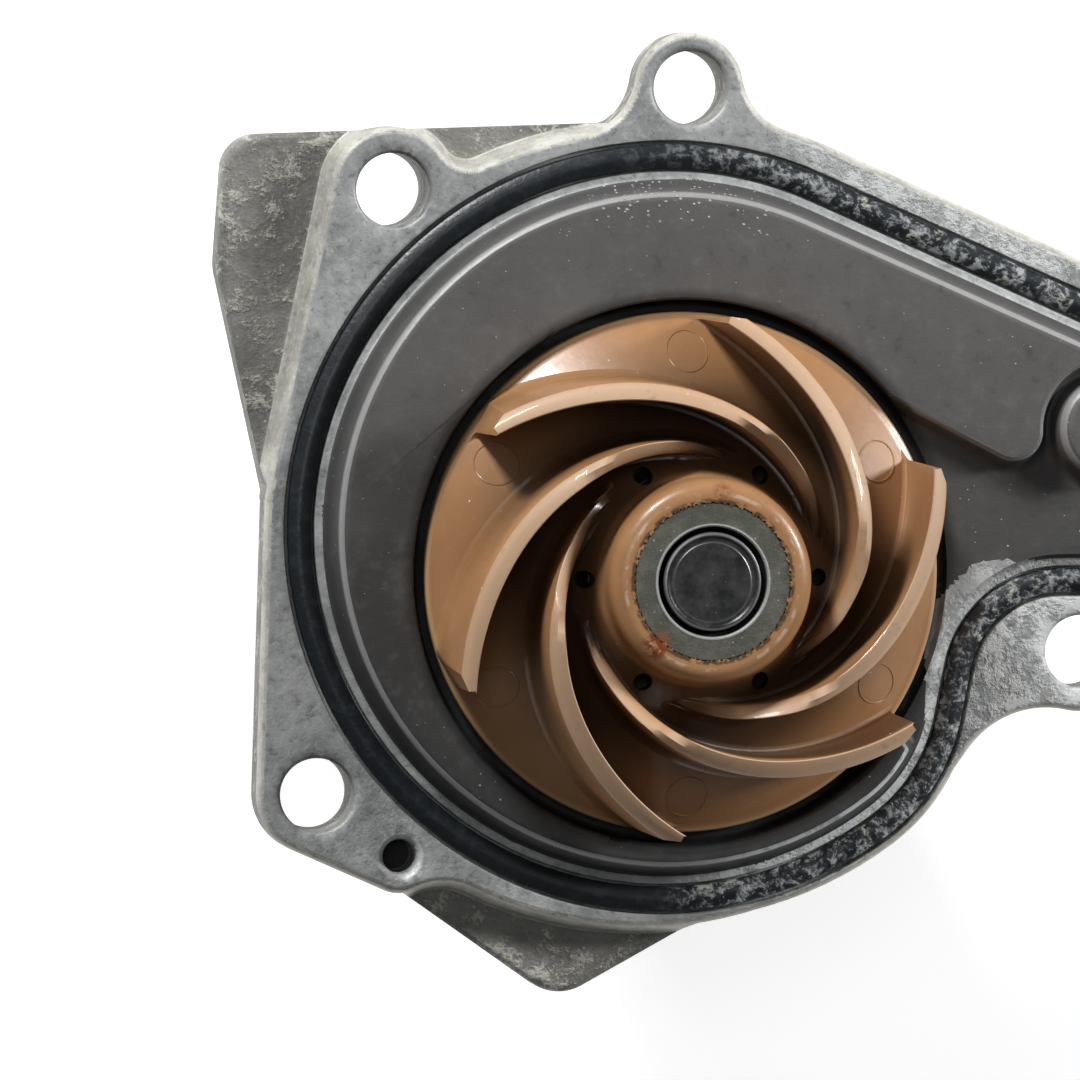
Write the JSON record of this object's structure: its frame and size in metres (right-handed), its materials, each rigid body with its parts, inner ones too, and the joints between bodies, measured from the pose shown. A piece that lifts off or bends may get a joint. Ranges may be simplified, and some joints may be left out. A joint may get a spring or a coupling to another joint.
{
  "type": "water pump",
  "caption": "Engine coolant pump: cast flanged housing with ring seal, curved-blade moulded impeller on a ball-bearing shaft with a face seal, and a round drive hub.",
  "frame": {"origin": "on the shaft's axis, in the flat drive end of the shaft and hub", "axes": "+Z along the shaft from the drive hub towards the impeller, +X towards the long outlet end of the flange, +Y towards the upper bolt ear"},
  "size_m": [0.1508, 0.1183, 0.0852],
  "materials": {
    "cast_alloy": "as-cast, grey and mottled by coolant",
    "seal_rubber": "black moulded rubber with pale scale",
    "impeller_plastic": "tan moulded plastic, satin gloss",
    "sintered_insert": "sintered metal, greenish grey",
    "shaft_steel": "ground steel, darkened",
    "hub_steel": "turned steel",
    "bearing_steel": "polished bearing steel",
    "cage_nylon": "natural nylon",
    "shield_rubber": "black rubber",
    "seal_brass": "drawn brass",
    "carbon": "lapped carbon",
    "seat_ceramic": "lapped ceramic"
  },
  "bodies": {
    "housing": {"pump_housing": "cast_alloy", "flange_seal": "seal_rubber", "bearing_race": "bearing_steel", "bearing_shield_front": "shield_rubber", "bearing_shield_rear": "shield_rubber", "seal_case": "seal_brass", "seal_bellows": "shield_rubber", "seal_spring": "bearing_steel", "carbon_ring": "carbon", "weep_plug": "shield_rubber"},
    "rotor": {"pump_shaft": "shaft_steel", "impeller": "impeller_plastic", "impeller_insert": "sintered_insert", "drive_hub": "hub_steel", "slinger": "bearing_steel", "seat_ring": "seat_ceramic", "seat_cup": "shield_rubber"},
    "front_balls": {"ball_cage_front": "cage_nylon", "ball_front_1": "bearing_steel", "ball_front_2": "bearing_steel", "ball_front_3": "bearing_steel", "ball_front_4": "bearing_steel", "ball_front_5": "bearing_steel", "ball_front_6": "bearing_steel", "ball_front_7": "bearing_steel", "ball_front_8": "bearing_steel"},
    "rear_balls": {"ball_cage_rear": "cage_nylon", "ball_rear_1": "bearing_steel", "ball_rear_2": "bearing_steel", "ball_rear_3": "bearing_steel", "ball_rear_4": "bearing_steel", "ball_rear_5": "bearing_steel", "ball_rear_6": "bearing_steel", "ball_rear_7": "bearing_steel", "ball_rear_8": "bearing_steel"}
  },
  "joints": [
    {"name": "shaft_spin", "type": "hinge", "parent": "housing", "child": "rotor", "pos_m": [0, 0, 0], "axis": [0, 0, 1], "continuous": true},
    {"name": "front_row_roll", "type": "hinge", "parent": "housing", "child": "front_balls", "pos_m": [0, 0, 0.0255], "axis": [0, 0, 1], "continuous": true},
    {"name": "rear_row_roll", "type": "hinge", "parent": "housing", "child": "rear_balls", "pos_m": [0, 0, 0.0405], "axis": [0, 0, 1], "continuous": true}
  ],
  "couplings": [
    {"joint": "front_row_roll", "follows": "shaft_spin", "ratio": 0.385},
    {"joint": "rear_row_roll", "follows": "shaft_spin", "ratio": 0.385}
  ]
}
